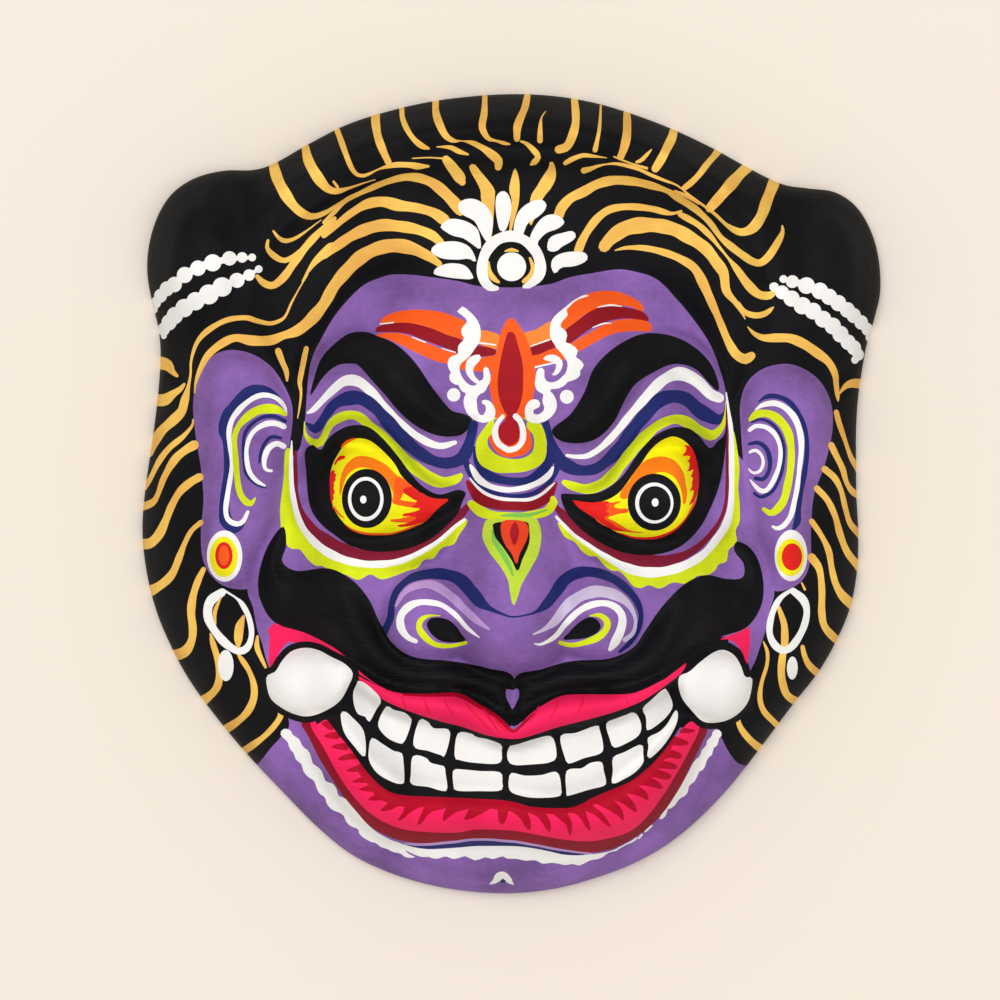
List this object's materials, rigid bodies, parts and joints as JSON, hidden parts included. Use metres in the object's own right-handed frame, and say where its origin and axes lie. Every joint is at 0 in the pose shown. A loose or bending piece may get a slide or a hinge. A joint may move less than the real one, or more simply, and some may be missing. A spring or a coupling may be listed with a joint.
{
  "type": "dance mask",
  "caption": "Full-face demon dance mask of painted papier-mache, with raised hair, brows, eyes, nose, lips and ears, hollow behind with a flat rim.",
  "frame": {"origin": "centre of the mask's outline, on the plane that its flat rim rests on", "axes": "+Z out of the face, +Y to the top of the head, +X to the viewer's right"},
  "size_m": [0.2776, 0.3006, 0.085],
  "materials": {
    "painted_papier_mache": "hand-painted with a low satin sheen, bare pulp at the back"
  },
  "bodies": {
    "root": {"mask": "painted_papier_mache"}
  },
  "joints": []
}
